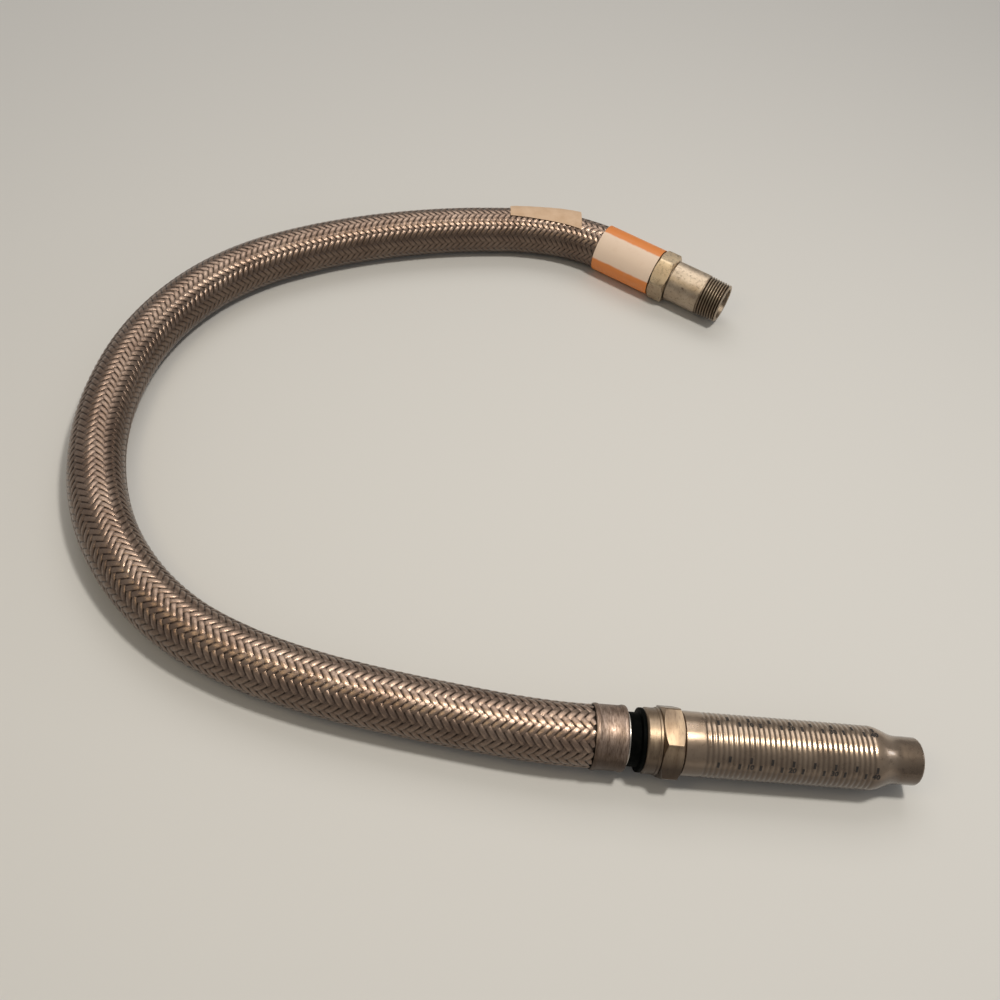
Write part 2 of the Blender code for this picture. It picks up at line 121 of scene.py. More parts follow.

# %% [markdown]
# ## The line of the hose
# The hose lies on the floor in a C. Its centreline was chosen point by point, and a
# smooth curve is drawn through the points. The same points shape the solid in the frame.
# The curve is sampled finely once, with a direction and two cross directions at each sample,
# and every layer of the hose is then placed by a distance, an angle and a radius.

# %% The line of the hose
HOSE_OD = 36.5 * MM
FLOOR_GAP = 0.05 * MM
HOSE_LEAD = 6.0 * MM
HOSE_END_GAP = 0.3 * MM
SAMPLES_A_SPAN = 24
ROUTE = (
    (-89.5, 232.9),
    (-109, 237.9),
    (-129, 239.5),
    (-149, 238.8),
    (-163, 236.7),
    (-199, 229.4),
    (-240, 217.4),
    (-281, 201.4),
    (-320, 181.4),
    (-355, 157.4),
    (-384, 127.4),
    (-406, 91.4),
    (-420, 52.4),
    (-426, 10.4),
    (-425, -31.6),
    (-416, -72.6),
    (-399, -110.6),
    (-373, -144.6),
    (-341, -170.6),
    (-303, -188.6),
    (-262, -200.6),
    (-220, -208.6),
    (-178, -214.6),
    (-136, -219.6),
)


def hose_line():
    """Finely spaced points of the centreline, from the inlet collar to the outlet collar."""
    low = HOSE_OD / 2 + FLOOR_GAP
    points = [Vector((x * MM, y * MM, low)) for x, y in ROUTE]
    inlet_at, outlet_at = INLET.translation, OUTLET.translation
    leave, arrive = -INLET.col[0].xyz, OUTLET.col[0].xyz
    points[0].z = (inlet_at.z * 2 + low) / 3
    points[1].z = (inlet_at.z + low * 2) / 3
    points[-1].z = (outlet_at.z + low * 2) / 3
    points = [inlet_at + leave * HOSE_LEAD] + points + [outlet_at - arrive * HOSE_LEAD]
    tangents = [leave]
    tangents += [(after - before).normalized() for before, after in zip(points, points[2:])]
    tangents.append(arrive)
    line = [inlet_at + leave * HOSE_END_GAP]
    for a, b, ta, tb in zip(points, points[1:], tangents, tangents[1:]):
        reach = (b - a).length
        for k in range(SAMPLES_A_SPAN):
            t = k / SAMPLES_A_SPAN
            line.append(
                a * (2 * t**3 - 3 * t**2 + 1)
                + ta * (reach * (t**3 - 2 * t**2 + t))
                + b * (3 * t**2 - 2 * t**3)
                + tb * (reach * (t**3 - t**2))
            )
    return line + [points[-1], outlet_at - arrive * HOSE_END_GAP]


LINE = np.array([tuple(point) for point in hose_line()])
LINE_AT = np.concatenate(([0.0], np.cumsum(np.linalg.norm(np.diff(LINE, axis=0), axis=1))))
HOSE_LENGTH = float(LINE_AT[-1])
print("hose length in m:", round(HOSE_LENGTH, 4))

# %% [markdown]
# ### A place on the hose
# At each sample, "side" is level and "up" completes the cross. Since the route is almost flat,
# this pair never twists, so a stripe painted at one angle runs straight along the hose.

# %% A place on the hose
tangent = np.gradient(LINE, LINE_AT, axis=0)
tangent /= np.linalg.norm(tangent, axis=1)[:, None]
side = np.cross(tangent, (0.0, 0.0, 1.0))
side /= np.linalg.norm(side, axis=1)[:, None]
LINE_SIDE = side
LINE_UP = np.cross(side, tangent)


def sampled(table, along):
    """Each column of a table, read at distances along the hose."""
    return np.stack([np.interp(along, LINE_AT, table[:, k]) for k in range(3)], axis=1)


def on_hose(along, angle, radius):
    """Points at a distance along the hose, an angle from its top and a radius."""
    along = np.clip(along, 0.0, HOSE_LENGTH)
    across = sampled(LINE_UP, along) * np.cos(angle)[:, None]
    across += sampled(LINE_SIDE, along) * np.sin(angle)[:, None]
    return sampled(LINE, along) + across * radius[:, None]


def read_points(mesh):
    """The mesh's vertices as rows of an array."""
    flat = np.empty(len(mesh.vertices) * 3)
    mesh.vertices.foreach_get("co", flat)
    return flat.reshape(-1, 3)


print("tangent at the inlet:", tangent[0].round(3))

# %% [markdown]
# ## Finished pieces
# A bmesh is a mesh being worked on. When its shape is done it becomes an object at the origin
# that already lies in its place, and it rides on the body of the pieces it belongs to.

# %% Finished pieces
SHARP_ANGLE = math.radians(35)


def as_object(name, bm, body, material, replaced=()):
    """Turn a bmesh into a finished piece."""
    mesh = bpy.data.meshes.new(name)
    bm.to_mesh(mesh)
    bm.free()
    mesh.shade_smooth()
    mesh.set_sharp_from_angle(angle=SHARP_ANGLE)
    mesh.materials.append(material)
    piece = bpy.data.objects.new(name, mesh)
    scene.collection.objects.link(piece)
    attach(piece, body)
    if replaced:
        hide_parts(*replaced)
    print(name, "faces:", len(mesh.polygons))
    return piece


# %% [markdown]
# ## Materials
# Every finish is worked out by nodes from the object's own coordinates, so it stays put in any
# view. Small helpers add one node at a time and set or link its sockets.

# %% Node helpers
# Painted shade on the undersides: full below the first height, none above the second.
FULL_SHADE_HEIGHT = 0.36
NO_SHADE_HEIGHT = 0.52


def new_material(name, metallic, roughness, **sockets):
    """A material with its node tree and shader."""
    material = bpy.data.materials.new(name)
    material.use_nodes = True
    shader = material.node_tree.nodes["Principled BSDF"]
    shader.inputs["Metallic"].default_value = metallic
    shader.inputs["Roughness"].default_value = roughness
    for key, value in sockets.items():
        shader.inputs[key.replace("_", " ")].default_value = value
    return material, material.node_tree, shader


def add(tree, kind, inputs, **settings):
    """A node, with its settings and with its sockets set or linked."""
    node = tree.nodes.new(kind)
    for key, value in settings.items():
        setattr(node, key, value)
    for key, value in inputs.items():
        if isinstance(value, bpy.types.NodeSocket):
            tree.links.new(value, node.inputs[key])
        else:
            node.inputs[key].default_value = value
    return node


def link_all(tree, shader, **sources):
    """Link a source to each named socket of the shader."""
    for key, source in sources.items():
        tree.links.new(source, shader.inputs[key.replace("_", " ")])


def math_node(tree, operation, *values):
    """One sum, product or other step of arithmetic."""
    return add(tree, "ShaderNodeMath", dict(enumerate(values)), operation=operation).outputs[0]


def noise(tree, where, scale, detail=3.0, roughness=0.55):
    """Soft random spots, from 0 to 1."""
    inputs = {"Vector": where, "Scale": scale, "Detail": detail, "Roughness": roughness}
    return add(tree, "ShaderNodeTexNoise", inputs).outputs["Fac"]


def ramp(tree, factor, *stops):
    """Colours or greys along a factor, each stop a place and a value."""
    node = add(tree, "ShaderNodeValToRGB", {"Fac": factor})
    elements = node.color_ramp.elements
    while len(elements) < len(stops):
        elements.new(0.5)
    for element, (place, value) in zip(elements, stops):
        element.position = place
        element.color = (*value, 1.0) if isinstance(value, tuple) else (value, value, value, 1.0)
    return node.outputs["Color"]


def mix_colour(tree, factor, first, second):
    """Two colours mixed by a factor."""
    node = add(tree, "ShaderNodeMix", {"Factor": factor}, data_type="RGBA")
    for socket, value in ((node.inputs[6], first), (node.inputs[7], second)):
        if isinstance(value, bpy.types.NodeSocket):
            tree.links.new(value, socket)
        else:
            socket.default_value = (*value, 1.0)
    return node.outputs[2]


def bump(tree, height, distance, strength=1.0):
    """A bumped normal from a height from 0 to 1."""
    inputs = {"Height": height, "Distance": distance, "Strength": strength}
    return add(tree, "ShaderNodeBump", inputs).outputs["Normal"]


def object_coords(tree):
    """The piece's own coordinates."""
    return add(tree, "ShaderNodeTexCoord", {}).outputs["Object"]


def painted_underside_shade(tree, where, most):
    """A mask for painted shade low down, darker towards the bottom. Its heights are shares of twice the
    hose's diameter.
    """
    height = add(tree, "ShaderNodeSeparateXYZ", {"Vector": where}).outputs["Z"]
    share = math_node(tree, "MULTIPLY", height, 1 / (2 * HOSE_OD))
    return ramp(tree, share, (FULL_SHADE_HEIGHT, most), (NO_SHADE_HEIGHT, 0.0))


def stored_recess_shade(tree):
    """The painted shade that a mesh stores for its low places, from 0 to 1."""
    return add(tree, "ShaderNodeAttribute", {}, attribute_name="recess_shade").outputs["Fac"]


# The height up to which the painted shade on the undersides is full.
print("grimy up to mm:", round(FULL_SHADE_HEIGHT * 2 * HOSE_OD / MM, 1))

# %% [markdown]
# ### Braid wire
# Each ribbon of the braid is a flat row of eight fine wires. The wires run along the ribbon, so
# they follow the ribbon's UV map: U goes across it and V along it. A rounded wave across U gives
# the wires. Painted shade darkens the low places between wires, the ribbons' edges, the places
# where a ribbon dips under another, and the lower part of the hose.

# %% Braid wire
WIRES_A_RIBBON = 8
WIRE_HEIGHT = 0.12 * MM
GRIME = (0.13, 0.085, 0.06)
# The colour of painted shade, laid where shade falls.
PAINTED_SHADE = (0.045, 0.03, 0.022)


def make_braid_material():
    material, tree, shader = new_material("braid_wire", 1.0, 0.3, Coat_Weight=0.3, Coat_Roughness=0.17)
    where = object_coords(tree)
    uv = add(tree, "ShaderNodeUVMap", {}, uv_map="ribbon").outputs["UV"]
    across = add(tree, "ShaderNodeSeparateXYZ", {"Vector": uv}).outputs["X"]
    turns = math_node(tree, "MULTIPLY", across, WIRES_A_RIBBON * math.pi)
    wires = math_node(tree, "ABSOLUTE", math_node(tree, "SINE", turns))
    patches = noise(tree, where, 45.0, 4.0)
    grime = noise(tree, where, 900.0, 3.0, 0.7)
    steel = ramp(tree, patches, (0.30, (0.40, 0.27, 0.20)), (0.70, (0.64, 0.47, 0.365)))
    dirty = mix_colour(tree, ramp(tree, grime, (0.40, 0.0), (0.75, 0.5)), steel, GRIME)
    from_middle = math_node(tree, "ABSOLUTE", math_node(tree, "SUBTRACT", across, 0.5))
    # Painted shade: each ribbon is darker at its edges, where it meets its neighbours.
    edges = mix_colour(tree, ramp(tree, from_middle, (0.32, 0.0), (0.47, 0.8)), dirty, PAINTED_SHADE)
    # Painted shade in the low places between the wires.
    between = mix_colour(tree, ramp(tree, wires, (0.0, 0.45), (0.45, 0.0)), edges, PAINTED_SHADE)
    # Painted shade where a ribbon dips under the other hand.
    low = mix_colour(tree, ramp(tree, stored_recess_shade(tree), (0.25, 0.0), (0.85, 0.8)), between, PAINTED_SHADE)
    # Painted shade: the braid is darker towards the bottom of the hose.
    colour = mix_colour(tree, painted_underside_shade(tree, where, 0.68), low, PAINTED_SHADE)
    rough = ramp(tree, grime, (0.3, 0.25), (0.8, 0.4))
    link_all(tree, shader, Base_Color=colour, Roughness=rough, Normal=bump(tree, wires, WIRE_HEIGHT, 0.35))
    return material


def make_core_shade_material():
    # Painted shade: the layer under the braid is coloured nearly black, as the shade inside it.
    material, tree, shader = new_material("braid_shadow", 0.6, 0.6)
    spots = noise(tree, object_coords(tree), 400.0)
    colour = ramp(tree, spots, (0.3, (0.03, 0.022, 0.017)), (0.7, (0.075, 0.056, 0.045)))
    link_all(tree, shader, Base_Color=colour)
    return material


BRAID = make_braid_material()
CORE_SHADE = make_core_shade_material()
print("wires in a ribbon:", WIRES_A_RIBBON)

# %% [markdown]
# ## The hose under its braid
# The braid leaves small gaps, and through them shows a dark layer. It is a curve with a round
# bevel, which is the natural way to make a tube along a line. It also stands for the hose, and
# the braid goes with it.
# Its near-black colour is painted shade, the shade inside the braid.

# %% The hose under its braid
CORE_R = 17.05 * MM
CORE_STEP = 9.0 * MM

core_curve = bpy.data.curves.new("hose_core", "CURVE")
core_curve.dimensions = "3D"
core_curve.twist_mode = "Z_UP"
core_curve.bevel_depth = CORE_R
core_curve.bevel_resolution = 10
core_curve.use_fill_caps = True
core_spline = core_curve.splines.new("POLY")
core_at = np.linspace(0.0, HOSE_LENGTH, round(HOSE_LENGTH / CORE_STEP) + 1)
core_points = sampled(LINE, core_at)
core_spline.points.add(len(core_points) - 1)
for knot, point in zip(core_spline.points, core_points):
    knot.co = (*point, 1.0)
core_curve.materials.append(CORE_SHADE)
hose_core = bpy.data.objects.new("hose_core", core_curve)
scene.collection.objects.link(hose_core)
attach(hose_core, "hose")
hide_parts("braided_hose")
print("core points:", len(core_points))

# %% [markdown]
# ## The braid
# Eighteen ribbons of wire wind round the hose to the right and eighteen to the left. Each passes
# over two of the other hand and then under two, which draws the chevrons.
# A woven thing is hard to model in place, so one ribbon is made flat: a bar with a crowned
# section, cut into short lengths. A formula then wraps each copy round the hose. Where the
# ribbon crosses on top its height goes up, and where it crosses below its height goes down.

# %% One flat ribbon
RIBBONS_A_HAND = 18
BRAID_ANGLE = math.radians(51.0)
BRAID_R = 18.25 * MM
RIBBON_WIDTH = 3.75 * MM
RIBBON_THICK = 0.55 * MM
WEAVE_RISE = 0.30 * MM
WEAVE_FLATTENED = 1.12
CUTS_A_CROSSING = 2
BRAID_LEAD = 2 * math.pi * BRAID_R / math.tan(BRAID_ANGLE)
CROSSING_STEP = BRAID_LEAD / (2 * RIBBONS_A_HAND)
RIBBON_SECTION = (
    (-0.50, 0.20),
    (-0.30, 0.80),
    (0.00, 1.00),
    (0.30, 0.80),
    (0.50, 0.20),
    (0.30, 0.00),
    (-0.30, 0.00),
)


def flat_ribbon():
    """A straight ribbon along X, Y across it and Z up, with its UV map."""
    bm = bmesh.new()
    corners = [bm.verts.new((0.0, y * RIBBON_WIDTH, z * RIBBON_THICK)) for y, z in RIBBON_SECTION]
    end = bm.faces.new(corners)
    drawn = bmesh.ops.extrude_face_region(bm, geom=[end], use_keep_orig=True)["geom"]
    far = [v for v in drawn if isinstance(v, bmesh.types.BMVert)]
    bmesh.ops.translate(bm, vec=(HOSE_LENGTH, 0.0, 0.0), verts=far)
    long_edges = [e for e in bm.edges if e.calc_length() > HOSE_LENGTH / 2]
    cuts = round(HOSE_LENGTH / CROSSING_STEP * CUTS_A_CROSSING) - 1
    bmesh.ops.subdivide_edges(bm, edges=long_edges, cuts=cuts, use_grid_fill=True)
    bmesh.ops.recalc_face_normals(bm, faces=bm.faces)
    layer = bm.loops.layers.uv.new("ribbon")
    for face in bm.faces:
        for loop in face.loops:
            place = loop.vert.co
            loop[layer].uv = (place.y / RIBBON_WIDTH + 0.5, place.x / RIBBON_WIDTH)
    mesh = bpy.data.meshes.new("flat_ribbon")
    bm.to_mesh(mesh)
    bm.free()
    return mesh


ribbon_mesh = flat_ribbon()
flat = read_points(ribbon_mesh)
print("lead in mm:", round(BRAID_LEAD / MM, 1), "points in a ribbon:", len(flat))

# %% [markdown]
# ### Wrapping the ribbons
# Flat on a table the ribbon would run at the braid angle to the hose, so a step across it is
# partly a step along the hose. The column that a crossing lies in, counted round the hose, says
# which hand is on top there: two columns for the right hand, then two for the left.

# %% Wrap and join the ribbons
SKEW = math.sin(BRAID_ANGLE)
ROUND_SHARE = math.cos(BRAID_ANGLE)


def wrapped_ribbon(number, hand):
    """The points of one ribbon on the hose, and how deep each lies in the weave.

    The hand is 1 for right and -1 for left.
    """
    crossing = flat[:, 0] / CROSSING_STEP
    column = 2 * number + hand * crossing
    wave = hand * np.clip(WEAVE_FLATTENED * np.cos(math.pi / 2 * (column - 0.5)), -1.0, 1.0)
    along = flat[:, 0] - hand * flat[:, 1] * SKEW
    turned_by = hand * 2 * math.pi * flat[:, 0] / BRAID_LEAD + flat[:, 1] * ROUND_SHARE / BRAID_R
    angle = 2 * math.pi * number / RIBBONS_A_HAND + turned_by
    radius = BRAID_R - RIBBON_THICK - WEAVE_RISE + WEAVE_RISE * wave + flat[:, 2]
    return on_hose(along, angle, radius), (1.0 - wave) / 2


def make_braid(name, hand):
    """All ribbons of one hand, as one piece that stores its low places as painted shade."""
    bm = bmesh.new()
    depths = []
    for number in range(RIBBONS_A_HAND):
        points, depth = wrapped_ribbon(number, hand)
        ribbon_mesh.vertices.foreach_set("co", points.ravel())
        bm.from_mesh(ribbon_mesh)
        depths.append(depth)
    bmesh.ops.recalc_face_normals(bm, faces=bm.faces)
    piece = as_object(name, bm, "hose", BRAID)
    # Painted shade: each point stores how far its ribbon lies under the other hand.
    recess_shade = piece.data.attributes.new("recess_shade", "FLOAT", "POINT")
    recess_shade.data.foreach_set("value", np.concatenate(depths))
    return piece


braid_right = make_braid("braid_right", 1)
braid_left = make_braid("braid_left", -1)

# %% [markdown]
# ## Turned pieces
# Collars, nuts, the nipple and the reducer are all turned on a lathe. A profile of distances
# along the axis and radii is spun once round. Three helpers follow: one spins, one softens the
# sharp edges with a small bevel, and one carries the piece to its fitting.

# %% Turning helpers
FULL_TURN = 2 * math.pi
RING_SIDES = 96
BARREL_SIDES = 112
NUT_SIDES = 144
SOFTENED_ABOVE = math.radians(30)


def turned(profile, steps):
    """A closed profile spun about X."""
    bm = bmesh.new()
    points = [bm.verts.new((along, 0.0, radius)) for along, radius in profile]
    edges = [bm.edges.new((points[i - 1], points[i])) for i in range(len(points))]
    bmesh.ops.spin(
        bm, geom=points + edges, cent=(0, 0, 0), axis=(1, 0, 0), angle=FULL_TURN, steps=steps, use_merge=True
    )
    bmesh.ops.recalc_face_normals(bm, faces=bm.faces)
    return bm


def soften(bm, width):
    """A small bevel on every sharp edge."""
    edges = [e for e in bm.edges if len(e.link_faces) == 2 and e.calc_face_angle() > SOFTENED_ABOVE]
    bmesh.ops.bevel(
        bm,
        geom=edges,
        offset=width,
        offset_type="OFFSET",
        affect="EDGES",
        segments=2,
        profile=0.5,
        material=-1,
        clamp_overlap=True,
    )


def placed(bm, axis):
    """The same bmesh, carried to its fitting."""
    bmesh.ops.transform(bm, matrix=axis, verts=bm.verts)
    return bm


print("sides of a nut's blank:", NUT_SIDES)

# %% [markdown]
# ### Plated and turned metal
# The nuts, the nipple and the reducer are zinc plated steel that has yellowed. The plating is
# satin: a fine grain in the bump, cloudy patches in the colour and some brown specks. The
# collars are stainless steel, rolled on, with brown stains that run round them. The zinc comes
# in lit and shaded copies: the outlet nut's is darker as painted shade, the inlet nut's and the
# nipple's lighter as painted light. Every metal gets painted shade in its grooves and underneath.

# %% Metal finishes
FINE_GRAIN = 0.04 * MM
COARSE_GRAIN = 0.07 * MM
EVEN = (1.0, 1.0, 1.0)
ROUND_THE_OUTLET = (3.0, 0.5, 0.5)


def make_metal(name, light, dark, stains, roughness, low, coat=0.0, grain=FINE_GRAIN, stretch=EVEN):
    """A metal with cloudy colour, brown specks, painted shade in its grooves and a painted darker underside.

    The coat is the clear film over the plating, and low is how strong the painted shade underneath is.
    """
    material, tree, shader = new_material(name, 1.0, roughness[0], Coat_Weight=coat, Coat_Roughness=0.07)
    where = object_coords(tree)
    stretched = add(tree, "ShaderNodeMapping", {"Vector": where, "Scale": stretch}).outputs[0]
    clouds = noise(tree, stretched, 60.0, 5.0, 0.6)
    specks = noise(tree, stretched, 420.0, 4.0, 0.7)
    base = ramp(tree, clouds, (0.32, dark), (0.68, light))
    mask = ramp(tree, specks, (0.88 - stains, 0.0), (1.1 - stains, 0.8))
    stained = mix_colour(tree, mask, base, GRIME)
    # Painted shade: the metal is darker towards its underside.
    shaded_below = mix_colour(tree, painted_underside_shade(tree, where, low), stained, PAINTED_SHADE)
    # Painted shade in the grooves and thread roots, from the stored attribute.
    colour = mix_colour(tree, stored_recess_shade(tree), shaded_below, PAINTED_SHADE)
    rough = ramp(tree, clouds, (0.25, roughness[0]), (0.75, roughness[1]))
    normal = bump(tree, noise(tree, where, 2600.0, 2.0), grain)
    link_all(tree, shader, Base_Color=colour, Roughness=rough, Normal=normal)
    return material


ZINC = make_metal(
    "yellowed_zinc",
    light=(0.60, 0.46, 0.34),
    dark=(0.45, 0.33, 0.235),
    stains=0.32,
    roughness=(0.25, 0.34),
    low=0.85,
    coat=0.55,
)
# Painted shade: the outlet nut is the same zinc, coloured darker.
SHADED_NUT_ZINC = make_metal(
    "shaded_nut_zinc",
    light=(0.43, 0.325, 0.225),
    dark=(0.25, 0.175, 0.115),
    stains=0.36,
    roughness=(0.34, 0.46),
    low=0.9,
    coat=0.3,
    stretch=ROUND_THE_OUTLET,
)
# Painted light: the nipple is the same zinc, coloured lighter.
LIT_NIPPLE_ZINC = make_metal(
    "lit_nipple_zinc",
    light=(0.84, 0.70, 0.54),
    dark=(0.58, 0.455, 0.33),
    stains=0.36,
    roughness=(0.34, 0.5),
    low=0.5,
    grain=COARSE_GRAIN,
)
# Painted light: the inlet nut is the same zinc, coloured much lighter.
LIT_INLET_ZINC = make_metal(
    "lit_inlet_zinc",
    light=(0.94, 0.76, 0.52),
    dark=(0.64, 0.49, 0.33),
    stains=0.36,
    roughness=(0.42, 0.54),
    low=0.5,
    coat=0.3,
)
COLLAR_STEEL = make_metal(
    "collar_steel",
    light=(0.65, 0.50, 0.415),
    dark=(0.26, 0.18, 0.13),
    stains=0.46,
    roughness=(0.42, 0.52),
    low=0.9,
    coat=0.1,
    stretch=ROUND_THE_OUTLET,
)
STEEL = make_metal(
    "plain_steel",
    light=(0.72, 0.67, 0.61),
    dark=(0.55, 0.5, 0.45),
    stains=0.2,
    roughness=(0.22, 0.35),
    low=0.4,
)
print("metals at the outlet:", ZINC.name, SHADED_NUT_ZINC.name, COLLAR_STEEL.name)

# %% [markdown]
# ### Black plastic and rubber
# The ring that keeps the nut off the weld ring is moulded in black plastic, and the gasket is
# flat rubber. Both are nearly black and dull, so little more than their outline shows.

# %% Plastic and rubber
def make_dull(name, colour, dust, roughness, scale):
    """A nearly black finish with a little dust."""
    material, tree, shader = new_material(name, 0.0, roughness, Specular_IOR_Level=0.02)
    where = object_coords(tree)
    spots = noise(tree, where, scale, 4.0, 0.65)
    mixed = ramp(tree, spots, (0.45, colour), (0.8, dust))
    normal = bump(tree, noise(tree, where, scale * 4), FINE_GRAIN)
    link_all(tree, shader, Base_Color=mixed, Normal=normal)
    return material


BLACK_PLASTIC = make_dull("black_plastic", (0.0015, 0.002, 0.0018), (0.005, 0.005, 0.0045), 0.55, 300.0)
RUBBER = make_dull("gasket_rubber", (0.02, 0.02, 0.021), (0.06, 0.055, 0.05), 0.75, 500.0)
print("dull finishes:", BLACK_PLASTIC.name, RUBBER.name)

# %% [markdown]
# ## Lengths along a fitting
# Both fittings are stacked in the same order from the mouth of the collar: collar, black ring,
# nut, and then the nipple or the reducer. The lengths are those of the solids in the frame,
# but the black ring's flange is thinner here, as on the real ring.

# %% Lengths along a fitting
COLLAR_LENGTH = 19.0 * MM
COLLAR_R = 19.1 * MM
COLLAR_WALL = 1.0 * MM
RING_START = 20.5 * MM
RING_STEP = 26.9 * MM
RING_END = 29.1 * MM
NUT_START = 29.4 * MM
LIP_END = 32.4 * MM
FITTING_START = 38.3 * MM
OUTLET_HEX = (38.5 * MM, 50.8 * MM)
INLET_HEX = (41.2 * MM, 55.4 * MM)
SHOULDER_GAP = 0.8 * MM
BORE_R = 11.0 * MM
NECK_R = 12.8 * MM
UNION_THREAD_R = 15.0 * MM
UNION_PITCH = 2.309 * MM
CLEARANCE = 0.3 * MM
print("the black ring's flange in mm:", round((RING_END - RING_STEP) / MM, 1))

# %% [markdown]
# ## The collar at the outlet
# The collar clamps the braid. Its two rims are rolled over, so they stand a little proud of the
# waist and are round. Half a sine wave gives each band of the profile that form, so that
# every rim catches a bright line. Behind the collar shows a thin shoulder of the weld ring.

# %% The outlet collar
COLLAR_BAND = 3.2 * MM
COLLAR_WAIST = 0.45 * MM
BAND_STEPS = 8
BAND_FULLNESS = 0.7
SHOULDER_RING = (19.5 * MM, 20.4 * MM)
SHOULDER_RING_R = 15.9 * MM
SHOULDER_CLEARANCE = 0.1 * MM
SHOULDER_EDGE = 0.2 * MM


def rolled_band(start):
    """The outside of one rim, from a distance along the axis."""
    points = []
    for k in range(BAND_STEPS + 1):
        share = k / BAND_STEPS
        swell = math.sin(math.pi * share) ** BAND_FULLNESS if 0 < k < BAND_STEPS else 0.0
        points.append((start + COLLAR_BAND * share, COLLAR_R - COLLAR_WAIST * (1.0 - swell)))
    return points


def make_collar():
    inner = COLLAR_R - COLLAR_WALL
    outside = rolled_band(0.0) + rolled_band(COLLAR_LENGTH - COLLAR_BAND)
    bm = placed(turned([(0.0, inner), (COLLAR_LENGTH, inner)] + outside[::-1], BARREL_SIDES), OUTLET)
    return as_object("outlet_collar_turned", bm, "hose", COLLAR_STEEL, ["outlet_collar"])


def make_shoulder_ring():
    start, end = SHOULDER_RING
    inner = NECK_R + SHOULDER_CLEARANCE
    profile = [(start, inner), (end, inner), (end, SHOULDER_RING_R), (start, SHOULDER_RING_R)]
    bm = turned(profile, RING_SIDES)
    soften(bm, SHOULDER_EDGE)
    return as_object("outlet_weld_shoulder", placed(bm, OUTLET), "hose", STEEL)


make_collar()
make_shoulder_ring()

# %% [markdown]
# ## The black ring
# The ring has a narrow body next to the collar and a wide flange against the nut. A sleeve
# under the nut's lip joins it, out of sight.

# %% The black ring
RING_BODY_R = 15.5 * MM
RING_FLANGE_R = 18.4 * MM
RING_SLEEVE_WALL = 0.8 * MM
RING_EDGE = 0.3 * MM


def make_black_ring():
    inner = NECK_R + CLEARANCE
    profile = [
        (RING_START, inner),
        (LIP_END, inner),
        (LIP_END, inner + RING_SLEEVE_WALL),
        (RING_END, inner + RING_SLEEVE_WALL),
        (RING_END, RING_FLANGE_R),
        (RING_STEP, RING_FLANGE_R),
        (RING_STEP, RING_BODY_R),
        (RING_START, RING_BODY_R),
    ]
    bm = turned(profile, RING_SIDES)
    soften(bm, RING_EDGE)
    placed(bm, OUTLET)
    return as_object("outlet_ring_moulded", bm, "hose", BLACK_PLASTIC, ["outlet_isolation_ring"])


make_black_ring()

# %% [markdown]
# ## The nuts
# A union nut starts as a turned blank: a round skirt and a thicker disc whose rims are
# chamfered. Six flats are then milled on the disc. Here the mill is a plane that cuts away what
# lies outside it, and the cut is filled. The chamfers turn into the arcs at the corners.

# %% The nuts
NUT_CORNER_CUT = 0.4 * MM
NUT_MOUTH_CHAMFER = 1.1 * MM
BEAD_R = 19.4 * MM
BEAD_LENGTH = 2.0 * MM
BEAD_DROP = 0.3 * MM
BEAD_EDGE = 0.4 * MM
OUTLET_FLATS = 40.0 * MM
OUTLET_SKIRT_R = 18.9 * MM
OUTLET_TURN = 0.0
INLET_FLATS = 36.4 * MM
INLET_SKIRT_R = 17.6 * MM
INLET_TURN = 48.6
CUT_TOLERANCE = 1e-7


def nut_blank(hexagon, flats, skirt, beaded):
    hex_start, nut_end = hexagon
    corner = flats / 2 / math.cos(math.pi / 6)
    blank = corner - NUT_CORNER_CUT
    drop = blank - flats / 2 + NUT_CORNER_CUT
    slope = drop * math.tan(math.radians(30))
    bore = UNION_THREAD_R + CLEARANCE
    lip = NECK_R + CLEARANCE + RING_SLEEVE_WALL + CLEARANCE
    profile = [
        (NUT_START, lip),
        (LIP_END, lip),
        (LIP_END, bore),
        (nut_end - NUT_MOUTH_CHAMFER / 2, bore),
        (nut_end, bore + NUT_MOUTH_CHAMFER / 2),
        (nut_end, blank - drop),
        (nut_end - slope, blank),
        (hex_start + slope, blank),
        (hex_start, blank - drop),
    ]
    if beaded:
        bead = hex_start - BEAD_LENGTH
        profile += [(hex_start, BEAD_R - BEAD_DROP), (hex_start - BEAD_EDGE, BEAD_R)]
        profile += [(bead + BEAD_EDGE, BEAD_R), (bead, BEAD_R - BEAD_DROP), (bead, skirt)]
    else:
        profile += [(hex_start - CLEARANCE, skirt)]
    profile += [(NUT_START + NUT_MOUTH_CHAMFER, skirt), (NUT_START, skirt - NUT_MOUTH_CHAMFER)]
    return profile


def mill_flat(bm, flats, angle):
    """Cut one flat at an angle round the axis, and close it."""
    away = Vector((0.0, math.cos(angle), math.sin(angle)))
    geometry = list(bm.verts) + list(bm.edges) + list(bm.faces)
    cut = bmesh.ops.bisect_plane(
        bm, geom=geometry, dist=CUT_TOLERANCE, plane_co=away * flats / 2, plane_no=away, clear_outer=True
    )
    rim = [e for e in cut["geom_cut"] if isinstance(e, bmesh.types.BMEdge)]
    bmesh.ops.edgeloop_fill(bm, edges=rim)


def make_nut(node, axis, hexagon, flats, skirt, turn, beaded, material):
    bm = turned(nut_blank(hexagon, flats, skirt, beaded), NUT_SIDES)
    for k in range(6):
        mill_flat(bm, flats, math.radians(turn + 30 + 60 * k))
    bmesh.ops.recalc_face_normals(bm, faces=bm.faces)
    return as_object(node + "_milled", placed(bm, axis), node, material, [node])


